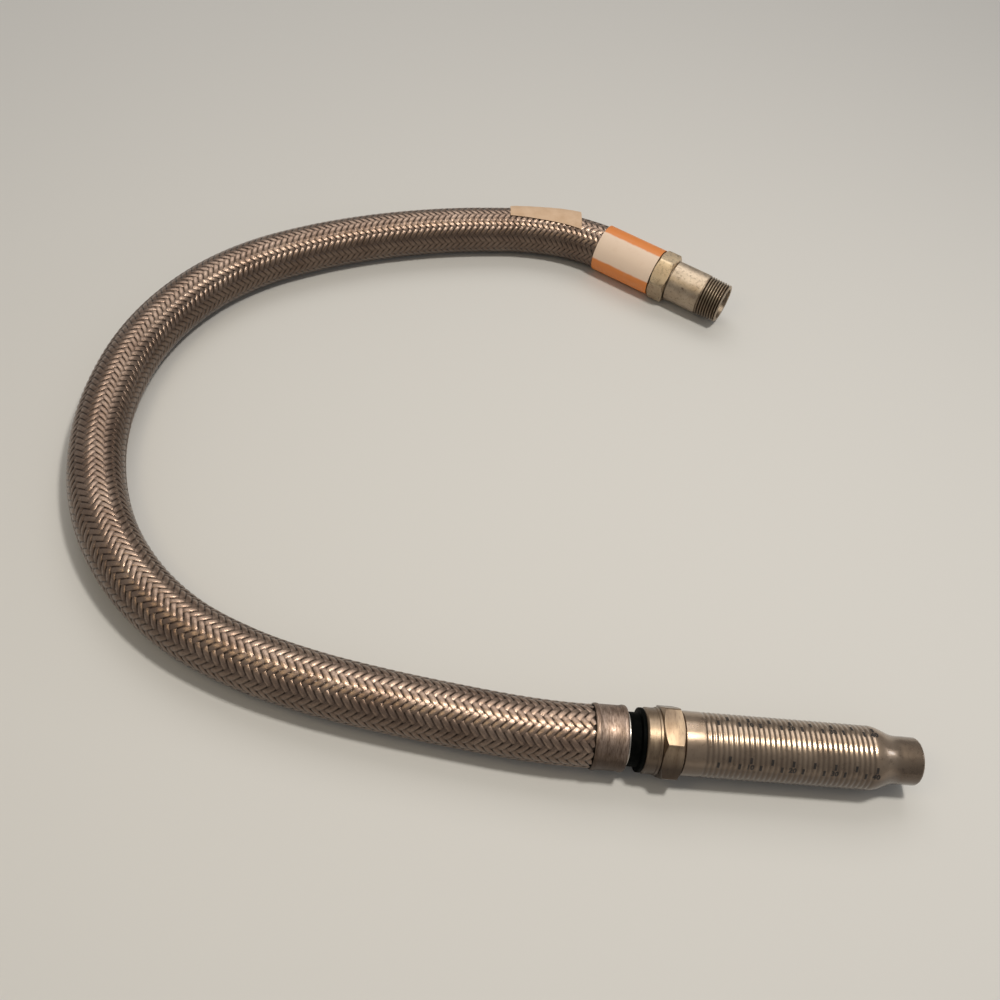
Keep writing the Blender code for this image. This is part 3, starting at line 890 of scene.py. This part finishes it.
make_nut("outlet_nut", OUTLET, OUTLET_HEX, OUTLET_FLATS, OUTLET_SKIRT_R, OUTLET_TURN, True, SHADED_NUT_ZINC)
make_nut("inlet_nut", INLET, INLET_HEX, INLET_FLATS, INLET_SKIRT_R, INLET_TURN, False, LIT_INLET_ZINC)

# %% [markdown]
# ## Threads
# A thread is one groove that winds along the pipe. It could be made with the Screw modifier and
# trimmed, but the ends are then hard to close. Here the pipe's outside is turned with many rings,
# and each point is moved in or out by where it lies in the turn of the thread.

# %% Threads
THREADS_LIE_OUTSIDE = 14.2 * MM
CREST_SHARE = 0.12
REACH_TOLERANCE = 1e-6


def thread_depth(along, angle, pitch, start, end, run_in):
    """How deep the thread is cut at a place, from 0 to 1."""
    phase = (along - start) / pitch - angle / FULL_TURN
    phase -= math.floor(phase)
    groove = 1.0 - abs(2.0 * phase - 1.0)
    groove = min(1.0, max(0.0, (groove - CREST_SHARE) / (1.0 - 2.0 * CREST_SHARE)))
    fade = min(1.0, max(0.0, (along - start) / run_in))
    return groove * fade if along <= end else 0.0


def rings(start, end, step, radius):
    """Evenly spaced points of a plain cylinder's profile."""
    count = max(1, round((end - start) / step))
    return [(start + (end - start) * k / count, radius) for k in range(count + 1)]


def cut_thread(bm, start, end, pitch, depth, run_in):
    """Move the outside points between start and end to the thread's form."""
    recess_shade = bm.verts.layers.float.get("recess_shade") or bm.verts.layers.float.new("recess_shade")
    for v in bm.verts:
        radius = math.hypot(v.co.y, v.co.z)
        reached = start - REACH_TOLERANCE <= v.co.x <= end + REACH_TOLERANCE
        if reached and radius > THREADS_LIE_OUTSIDE:
            angle = math.atan2(v.co.z, v.co.y)
            share = thread_depth(v.co.x, angle, pitch, start, end, run_in)
            v.co.y *= (radius - depth * share) / radius
            v.co.z *= (radius - depth * share) / radius
            # Painted shade: the deeper the cut, the darker the thread.
            v[recess_shade] = share


print("turns of a union thread in 10 mm:", round(10 * MM / UNION_PITCH, 2))

# %% [markdown]
# ## The nipple
# The nipple screws into the branch pipe. It has a plain barrel and a tapered pipe thread: its
# diameter shrinks by one part in sixteen, so that it jams tight as it is screwed in. Its other
# end carries the thread that the union nut runs on.

# %% The nipple
NIPPLE_R = 16.7 * MM
NIPPLE_BARREL = 28.0 * MM
NIPPLE_THREAD = 19.0 * MM
NIPPLE_PITCH = 2.209 * MM
NIPPLE_TAPER = 1.0 / 32.0
NIPPLE_THREAD_DEPTH = 1.25 * MM
NIPPLE_BORE_R = 13.0 * MM
NIPPLE_LAND = 0.9 * MM
NIPPLE_RUN_IN = 0.5 * MM
NIPPLE_EDGE = 0.4 * MM
THREAD_RING_STEP = 0.13 * MM
UNION_RELIEF_R = 14.3 * MM
UNION_LEAD = 0.8 * MM
UNION_THREAD_ENDS = 1.6 * MM
UNION_THREAD_DEPTH = 0.9 * MM
UNION_RUN_IN = 1.5 * MM
UNION_RING_STEP = 0.22 * MM


def union_end(nut_end):
    """The profile of the end that the nut screws on to, from its seat to its shoulder."""
    start, end = FITTING_START + UNION_LEAD, nut_end - UNION_THREAD_ENDS
    points = [(FITTING_START, UNION_THREAD_R - UNION_LEAD)]
    points += rings(start, end, UNION_RING_STEP, UNION_THREAD_R)
    points += [(end + UNION_LEAD, UNION_RELIEF_R), (nut_end + SHOULDER_GAP, UNION_RELIEF_R)]
    return points


def cut_union_thread(bm, nut_end):
    """The thread that the union nut runs on."""
    start, end = FITTING_START + UNION_LEAD, nut_end - UNION_THREAD_ENDS
    cut_thread(bm, start, end, UNION_PITCH, UNION_THREAD_DEPTH, UNION_RUN_IN)


def make_nipple():
    nut_end = INLET_HEX[1]
    shoulder = nut_end + SHOULDER_GAP
    thread_start = shoulder + NIPPLE_BARREL
    end = thread_start + NIPPLE_THREAD
    outside = union_end(nut_end)
    outside += [(shoulder, NIPPLE_R - CLEARANCE), (shoulder + CLEARANCE, NIPPLE_R)]
    outside += [(thread_start - 2 * CLEARANCE, NIPPLE_R), (thread_start - CLEARANCE, NIPPLE_R)]
    for along, _ in rings(thread_start, end - NIPPLE_LAND, THREAD_RING_STEP, 0.0):
        outside.append((along, NIPPLE_R - (along - thread_start) * NIPPLE_TAPER))
    outside.append((end, NIPPLE_R - NIPPLE_THREAD * NIPPLE_TAPER - NIPPLE_THREAD_DEPTH))
    inside = [
        (FITTING_START, BORE_R),
        (nut_end, BORE_R),
        (shoulder + NIPPLE_R - BORE_R, NIPPLE_BORE_R),
        (end - NIPPLE_EDGE, NIPPLE_BORE_R),
        (end, NIPPLE_BORE_R + NIPPLE_EDGE),
    ]
    bm = turned(inside + outside[::-1], BARREL_SIDES)
    cut_thread(bm, thread_start, end - NIPPLE_LAND, NIPPLE_PITCH, NIPPLE_THREAD_DEPTH, NIPPLE_RUN_IN)
    cut_union_thread(bm, nut_end)
    placed(bm, INLET)
    return as_object("nipple_threaded", bm, "inlet_nipple", LIT_NIPPLE_ZINC, ["inlet_nipple"])


make_nipple()

# %% [markdown]
# ## The reducer
# The reducer carries the sprinkler. Its barrel has 33 round grooves that grip, with a scale that
# shows how deep it is set in the ceiling, and its end is swaged down to a neck.
# The grooves are a wave along the profile, and the swage is half a cosine.

# %% The reducer
REDUCER_R = 18.6 * MM
REDUCER_BORE_R = 15.2 * MM
REDUCER_PLAIN = 11.1 * MM
GROOVE_COUNT = 33
GROOVE_PITCH = 3.055 * MM
GROOVE_DEPTH = 0.28 * MM
GROOVES_START = OUTLET_HEX[1] + SHOULDER_GAP + REDUCER_PLAIN
SWAGE_START = GROOVES_START + GROOVE_COUNT * GROOVE_PITCH
SWAGE_LENGTH = 18.0 * MM
OUT_NECK_R = 13.9 * MM
OUT_NECK_LENGTH = 12.9 * MM
REDUCER_END = SWAGE_START + SWAGE_LENGTH + OUT_NECK_LENGTH
SOCKET_R = 10.4 * MM
SOCKET_LENGTH = 17.0 * MM
SOCKET_STEP = 1.0 * MM
SOCKET_RING_STEP = 0.25 * MM
SOCKET_EDGE = 0.8 * MM
OUT_LIP = 2.2 * MM
RINGS_A_GROOVE = 10
SWAGE_RINGS = 14
LIP_RINGS = 6
# How dark the painted shade in the bottoms of the grooves gets.
GROOVE_SHADE = 0.4


def barrel_radius(along):
    """The radius of the grooved barrel at a distance from the collar's mouth."""
    if not GROOVES_START <= along <= SWAGE_START:
        return REDUCER_R
    phase = (along - GROOVES_START) / GROOVE_PITCH % 1.0
    return REDUCER_R - GROOVE_DEPTH * (1 - math.cos(FULL_TURN * phase)) / 2


def make_reducer():
    nut_end = OUTLET_HEX[1]
    shoulder = nut_end + SHOULDER_GAP
    outside = union_end(nut_end)
    outside += [(shoulder, REDUCER_R - CLEARANCE), (shoulder + CLEARANCE, REDUCER_R)]
    waves = rings(GROOVES_START, SWAGE_START, GROOVE_PITCH / RINGS_A_GROOVE, 0.0)
    outside += [(along, barrel_radius(along)) for along, _ in waves]
    for k in range(1, SWAGE_RINGS + 1):
        share = k / SWAGE_RINGS
        ease = (1 - math.cos(math.pi * share)) / 2
        outside.append((SWAGE_START + SWAGE_LENGTH * share, REDUCER_R + (OUT_NECK_R - REDUCER_R) * ease))
    for k in range(LIP_RINGS + 1):
        bend = math.pi / 2 * k / LIP_RINGS
        along = REDUCER_END - OUT_LIP * (1 - math.sin(bend))
        outside.append((along, OUT_NECK_R - OUT_LIP * (1 - math.cos(bend))))
    inside = [
        (FITTING_START, BORE_R),
        (nut_end, BORE_R),
        (shoulder + REDUCER_BORE_R - BORE_R, REDUCER_BORE_R),
        (SWAGE_START, REDUCER_BORE_R),
        (REDUCER_END - SOCKET_LENGTH, SOCKET_R - SOCKET_STEP),
    ]
    socket_start = REDUCER_END - SOCKET_LENGTH + SOCKET_STEP
    inside += rings(socket_start, REDUCER_END - SOCKET_STEP, SOCKET_RING_STEP, SOCKET_R)
    inside += [(REDUCER_END, SOCKET_R + SOCKET_EDGE)]
    bm = turned(inside + outside[::-1], BARREL_SIDES)
    recess_shade = bm.verts.layers.float.new("recess_shade")
    for v in bm.verts:
        radius = math.hypot(v.co.y, v.co.z)
        if GROOVES_START < v.co.x < SWAGE_START and radius > (REDUCER_R + REDUCER_BORE_R) / 2:
            # Painted shade in the bottoms of the grooves.
            v[recess_shade] = GROOVE_SHADE * (REDUCER_R - radius) / GROOVE_DEPTH
    cut_union_thread(bm, nut_end)
    placed(bm, OUTLET)
    return as_object("reducer_grooved", bm, "outlet_reducer", ZINC, ["outlet_reducer"])


make_reducer()

# %% [markdown]
# ### The scale on the reducer
# Dark marks are printed in rows along the barrel, about half an inch apart. A little below,
# more marks lie halfway between them, and a plain number stands under every second mark. The
# marks are very thin pieces of ink that follow the grooves. Each starts flat, is cut at many
# lines so that it can bend, and is then wrapped round the barrel.

# %% Ink
def make_ink():
    material, tree, shader = new_material("scale_ink", 0.0, 0.6)
    spots = noise(tree, object_coords(tree), 700.0, 3.0)
    colour = ramp(tree, spots, (0.35, (0.010, 0.008, 0.007)), (0.75, (0.04, 0.03, 0.025)))
    link_all(tree, shader, Base_Color=colour)
    return material


INK = make_ink()
INK_LIFT = 0.04 * MM
INK_THICK = 0.05 * MM
MARK_STEP = 12.35 * MM
FIRST_MARK = GROOVES_START + 4.75 * GROOVE_PITCH
MARK_COUNT = 8
MARK_WIDTH = 1.45 * MM
MARK_LENGTH = 3.6 * MM
NUMBER_HEIGHT = 3.3 * MM
NUMBER_BOLD = 0.2 * MM
NUMBER_STEP = 5
TEXT_SIZE_SHARE = 1.35
BENDS_A_GROOVE = 8
MARK_ABOVE = math.radians(13)
ROW_ANGLES = (30.0, 109.5, 210.0, 289.5)


def wrap_on_barrel(bm, centre, angle):
    """Bend flat ink at the origin round the barrel. The angle counts from the near side up."""
    low = min(v.co.x for v in bm.verts)
    high = max(v.co.x for v in bm.verts)
    step = GROOVE_PITCH / BENDS_A_GROOVE
    for k in range(1, math.ceil((high - low) / step)):
        geometry = list(bm.verts) + list(bm.edges) + list(bm.faces)
        place = (low + k * step, 0, 0)
        bmesh.ops.bisect_plane(bm, geom=geometry, dist=CUT_TOLERANCE, plane_co=place, plane_no=(1, 0, 0))
    for v in bm.verts:
        along = centre + v.co.x
        radius = barrel_radius(along) + INK_LIFT + v.co.z
        place = angle + v.co.y / REDUCER_R
        v.co = (along, -radius * math.cos(place), radius * math.sin(place))


def ink_mark():
    bm = bmesh.new()
    bmesh.ops.create_grid(bm, x_segments=1, y_segments=8, size=0.5)
    bmesh.ops.scale(bm, vec=(MARK_WIDTH, MARK_LENGTH, 1.0), verts=bm.verts)
    return bm


def ink_number(words):
    text = bpy.data.curves.new("number", "FONT")
    text.body = words
    text.size = NUMBER_HEIGHT * TEXT_SIZE_SHARE
    text.offset = NUMBER_BOLD
    text.align_x = "CENTER"
    text.align_y = "CENTER"
    text.resolution_u = 3
    carrier = bpy.data.objects.new("number", text)
    mesh = bpy.data.meshes.new_from_object(carrier)
    bm = bmesh.new()
    bm.from_mesh(mesh)
    bpy.data.objects.remove(carrier)
    bpy.data.curves.remove(text)
    bmesh.ops.triangulate(bm, faces=bm.faces)
    return bm


def make_scale():
    whole = bmesh.new()
    scratch = bpy.data.meshes.new("ink")
    for row in ROW_ANGLES:
        turn = math.radians(row)
        inks = []
        for k in range(MARK_COUNT):
            centre = FIRST_MARK + k * MARK_STEP
            inks.append((ink_mark(), centre, turn + MARK_ABOVE))
            inks.append((ink_mark(), centre - MARK_STEP / 2, turn))
            if k % 2:
                inks.append((ink_number(str(NUMBER_STEP * (k + 1))), centre, turn))
        for bm, centre, angle in inks:
            bmesh.ops.solidify(bm, geom=bm.faces, thickness=-INK_THICK)
            bmesh.ops.recalc_face_normals(bm, faces=bm.faces)
            wrap_on_barrel(bm, centre, angle)
            bm.to_mesh(scratch)
            bm.free()
            whole.from_mesh(scratch)
    return as_object("scale_marks", placed(whole, OUTLET), "outlet_reducer", INK)


make_scale()

# %% [markdown]
# ## The label
# A printed sleeve is shrunk over the inlet collar. It is cream where the camera sees most of it,
# and orange above and below. The bands run along the sleeve, so a Mapping node first turns the
# object's coordinates to the sleeve's own axis, and the angle round that axis picks the colour.

# %% The label
LABEL_R = 19.45 * MM
LABEL_WALL = 0.25 * MM
LABEL_START = -11.0 * MM
LABEL_END = INLET_HEX[0] - CLEARANCE
CREAM = (0.82, 0.64, 0.50)
ORANGE = (0.74, 0.235, 0.045)
RUBBED = (0.62, 0.42, 0.27)
CREAM_BAND = (5.0, 78.0)
BAND_BLUR = 0.006
LABEL_RIM = 0.08 * MM
LABEL_RING_STEP = 4.0 * MM


def make_label_material():
    material, tree, shader = new_material("label_print", 0.0, 0.42)
    where = object_coords(tree)
    back = INLET.inverted()
    mapping = {"Vector": where, "Location": back.translation, "Rotation": back.to_euler()}
    local = add(tree, "ShaderNodeMapping", mapping).outputs[0]
    parts = add(tree, "ShaderNodeSeparateXYZ", {"Vector": local}).outputs
    near = math_node(tree, "MULTIPLY", parts["Y"], -1.0)
    angle = math_node(tree, "ARCTAN2", parts["Z"], near)
    blur = math_node(tree, "MULTIPLY_ADD", noise(tree, where, 160.0), 0.10, -0.05)
    turn = math_node(tree, "ADD", angle, blur)
    share = math_node(tree, "MULTIPLY_ADD", turn, 1 / FULL_TURN, 0.5)
    low, high = (math.radians(a) / FULL_TURN + 0.5 for a in CREAM_BAND)
    bands = ramp(
        tree,
        share,
        (low - BAND_BLUR, ORANGE),
        (low + BAND_BLUR, CREAM),
        (high - BAND_BLUR, CREAM),
        (high + BAND_BLUR, ORANGE),
    )
    wear = ramp(tree, noise(tree, where, 110.0, 5.0, 0.7), (0.55, 0.0), (0.85, 0.35))
    colour = mix_colour(tree, wear, bands, RUBBED)
    normal = bump(tree, noise(tree, where, 240.0), 0.12 * MM, 0.5)
    link_all(tree, shader, Base_Color=colour, Normal=normal)
    return material


LABEL = make_label_material()


def make_label():
    inner = LABEL_R - LABEL_WALL
    profile = [(LABEL_START, inner), (LABEL_END, inner)]
    profile += [(LABEL_END, LABEL_R - LABEL_RIM), (LABEL_END - LABEL_RIM, LABEL_R)]
    profile += rings(LABEL_END - 2 * MM, LABEL_START + 2 * MM, LABEL_RING_STEP, LABEL_R)
    profile += [(LABEL_START + LABEL_RIM, LABEL_R), (LABEL_START, LABEL_R - LABEL_RIM)]
    bm = turned(profile, RING_SIDES)
    return as_object("label_sleeve", placed(bm, INLET), "hose", LABEL, ["inlet_label"])


make_label()

# %% [markdown]
# ## The strip of tape
# A strip of masking tape lies along the top of the hose near the label. Its far edge has come
# loose and stands off the braid. The strip starts as a flat grid, gets its thickness, and is
# laid on the hose with the same formula that wrapped the ribbons.

# %% The strip of tape
TAPE_START = 33.5 * MM
TAPE_LENGTH = 59.0 * MM
TAPE_THICK = 0.3 * MM
TAPE_GAP = 0.3 * MM
TAPE_NEAR_EDGES = (math.radians(-25), math.radians(-13))
TAPE_FAR_EDGE = math.radians(38)
TAPE_SLANTS = (3.0 * MM, 2.3 * MM)
TAPE_LIFT_START = 3.6 * MM
TAPE_LIFT_END = 0.8 * MM
WRINKLE_HEIGHT = 0.12 * MM
WRINKLES = (40.0, 9.0)


def make_tape_material():
    material, tree, shader = new_material("creped_tape", 0.0, 0.85)
    where = object_coords(tree)
    creped = add(tree, "ShaderNodeMapping", {"Vector": where, "Scale": (1.0, 0.25, 1.0)}).outputs[0]
    crepe = noise(tree, creped, 1400.0, 4.0, 0.6)
    spots = noise(tree, where, 130.0, 4.0)
    colour = ramp(tree, spots, (0.3, (0.60, 0.41, 0.265)), (0.7, (0.70, 0.50, 0.345)))
    link_all(tree, shader, Base_Color=colour, Normal=bump(tree, crepe, 0.15 * MM, 0.8))
    return material


def make_tape():
    bm = bmesh.new()
    bmesh.ops.create_grid(bm, x_segments=60, y_segments=18, size=0.5)
    bmesh.ops.translate(bm, vec=(0.5, 0.5, 0.0), verts=bm.verts)
    bmesh.ops.solidify(bm, geom=bm.faces, thickness=-TAPE_THICK)
    bmesh.ops.recalc_face_normals(bm, faces=bm.faces)
    mesh = bpy.data.meshes.new("tape")
    bm.to_mesh(mesh)
    share = read_points(mesh)
    lift = TAPE_LIFT_START + (TAPE_LIFT_END - TAPE_LIFT_START) * share[:, 0]
    thick = share[:, 2] - share[:, 2].min()
    wrinkle = WRINKLE_HEIGHT * np.sin(share[:, 0] * WRINKLES[0]) * np.sin(share[:, 1] * WRINKLES[1] + 1)
    radius = HOSE_OD / 2 + TAPE_GAP + thick + lift * share[:, 1] ** 2 + wrinkle * share[:, 1]
    near_edge = TAPE_NEAR_EDGES[0] + (TAPE_NEAR_EDGES[1] - TAPE_NEAR_EDGES[0]) * share[:, 0]
    angle = near_edge + (TAPE_FAR_EDGE - near_edge) * share[:, 1]
    slant = (1 - share[:, 0]) * TAPE_SLANTS[0] * (2 * share[:, 1] - 1)
    slant += share[:, 0] * TAPE_SLANTS[1] * (1 - share[:, 1])
    places = on_hose(TAPE_START + TAPE_LENGTH * share[:, 0] + slant, angle, radius)
    bm.verts.ensure_lookup_table()
    for v, place in zip(bm.verts, places):
        v.co = place
    bmesh.ops.recalc_face_normals(bm, faces=bm.faces)
    return as_object("tape_strip", bm, "hose", make_tape_material(), ["masking_tape"])


tape_strip = make_tape()

# %% [markdown]
# ## The hidden pieces
# The weld rings, gaskets, corrugated tube ends and braid ends are right as they are in the
# frame. They only get their finish, because a sliver of some shows at rest and more when a
# nut is unscrewed.

# %% The hidden pieces
KEPT = {
    "inlet_collar": COLLAR_STEEL,
    # The braid ends take the core's painted shade.
    "inlet_braid_end": CORE_SHADE,
    "outlet_braid_end": CORE_SHADE,
    "inlet_corrugated_tube": STEEL,
    "outlet_corrugated_tube": STEEL,
    "inlet_weld_ring": STEEL,
    "outlet_weld_ring": STEEL,
    "inlet_isolation_ring": BLACK_PLASTIC,
    "inlet_gasket": RUBBER,
    "outlet_gasket": RUBBER,
}
for node_name, material in KEPT.items():
    for slot in frame["nodes"][node_name].material_slots:
        slot.material = material
print("kept nodes:", len(KEPT))

# %% [markdown]
# ## The hose
# Both of its ends go into collars of the object itself. The braid and the tape go with it.

# %% [markdown]
# ## Floor and light
# The hose lies on a plain pale floor. A broad soft lamp hangs high above and behind it, which
# makes the band of light along the top. A small ceiling lamp gives each groove and each
# crossing of the braid its own glint, and a window at the right shows as a spot on the swage.
# A weak warm lamp at the left lights the flats of the nut and the nipple at the inlet.
# The world is dim, so that metal keeps its dark sides.

# %% Floor and light
FLOOR_COLOUR = (0.68, 0.67, 0.65)
FLOOR_REACH = 6.0
WORLD_STRENGTH = 0.26


def make_floor():
    material = new_material("floor_paper", 0.0, 0.9, Base_Color=(*FLOOR_COLOUR, 1.0))[0]
    bm = bmesh.new()
    bmesh.ops.create_grid(bm, x_segments=1, y_segments=1, size=FLOOR_REACH)
    mesh = bpy.data.meshes.new("floor")
    bm.to_mesh(mesh)
    bm.free()
    mesh.materials.append(material)
    floor = bpy.data.objects.new("floor", mesh)
    scene.collection.objects.link(floor)


def add_lamp(name, place, target, size, power, colour):
    data = bpy.data.lights.new(name, "AREA")
    data.shape = "RECTANGLE"
    data.size, data.size_y = size
    data.energy = power
    data.color = colour
    lamp = bpy.data.objects.new(name, data)
    lamp.location = place
    lamp.rotation_euler = (Vector(target) - Vector(place)).to_track_quat("-Z", "Y").to_euler()
    scene.collection.objects.link(lamp)


def make_world():
    world = bpy.data.worlds.new("studio")
    world.use_nodes = True
    background = world.node_tree.nodes["Background"]
    background.inputs["Color"].default_value = (1.0, 0.98, 0.95, 1.0)
    background.inputs["Strength"].default_value = WORLD_STRENGTH
    scene.world = world


make_floor()
make_world()
add_lamp("sky", (-0.17, 1.90, 2.60), (-0.17, 0.0, 0.0), (2.6, 1.8), 25.0, (1.0, 0.97, 0.93))
add_lamp("ceiling", (0.12, -0.16, 1.24), (-0.05, -0.1, 0.0), (0.14, 0.14), 7.5, (1.0, 0.95, 0.86))
add_lamp("window", (1.21, -0.06, 0.45), (0.0, -0.2, 0.0), (0.16, 0.16), 0.6, (0.93, 0.96, 1.0))
add_lamp("side", (-0.577, -0.358, 0.795), (-0.02, 0.195, 0.02), (0.3, 0.3), 0.75, (1.0, 0.82, 0.52))
print("lamps:", len(bpy.data.lights))
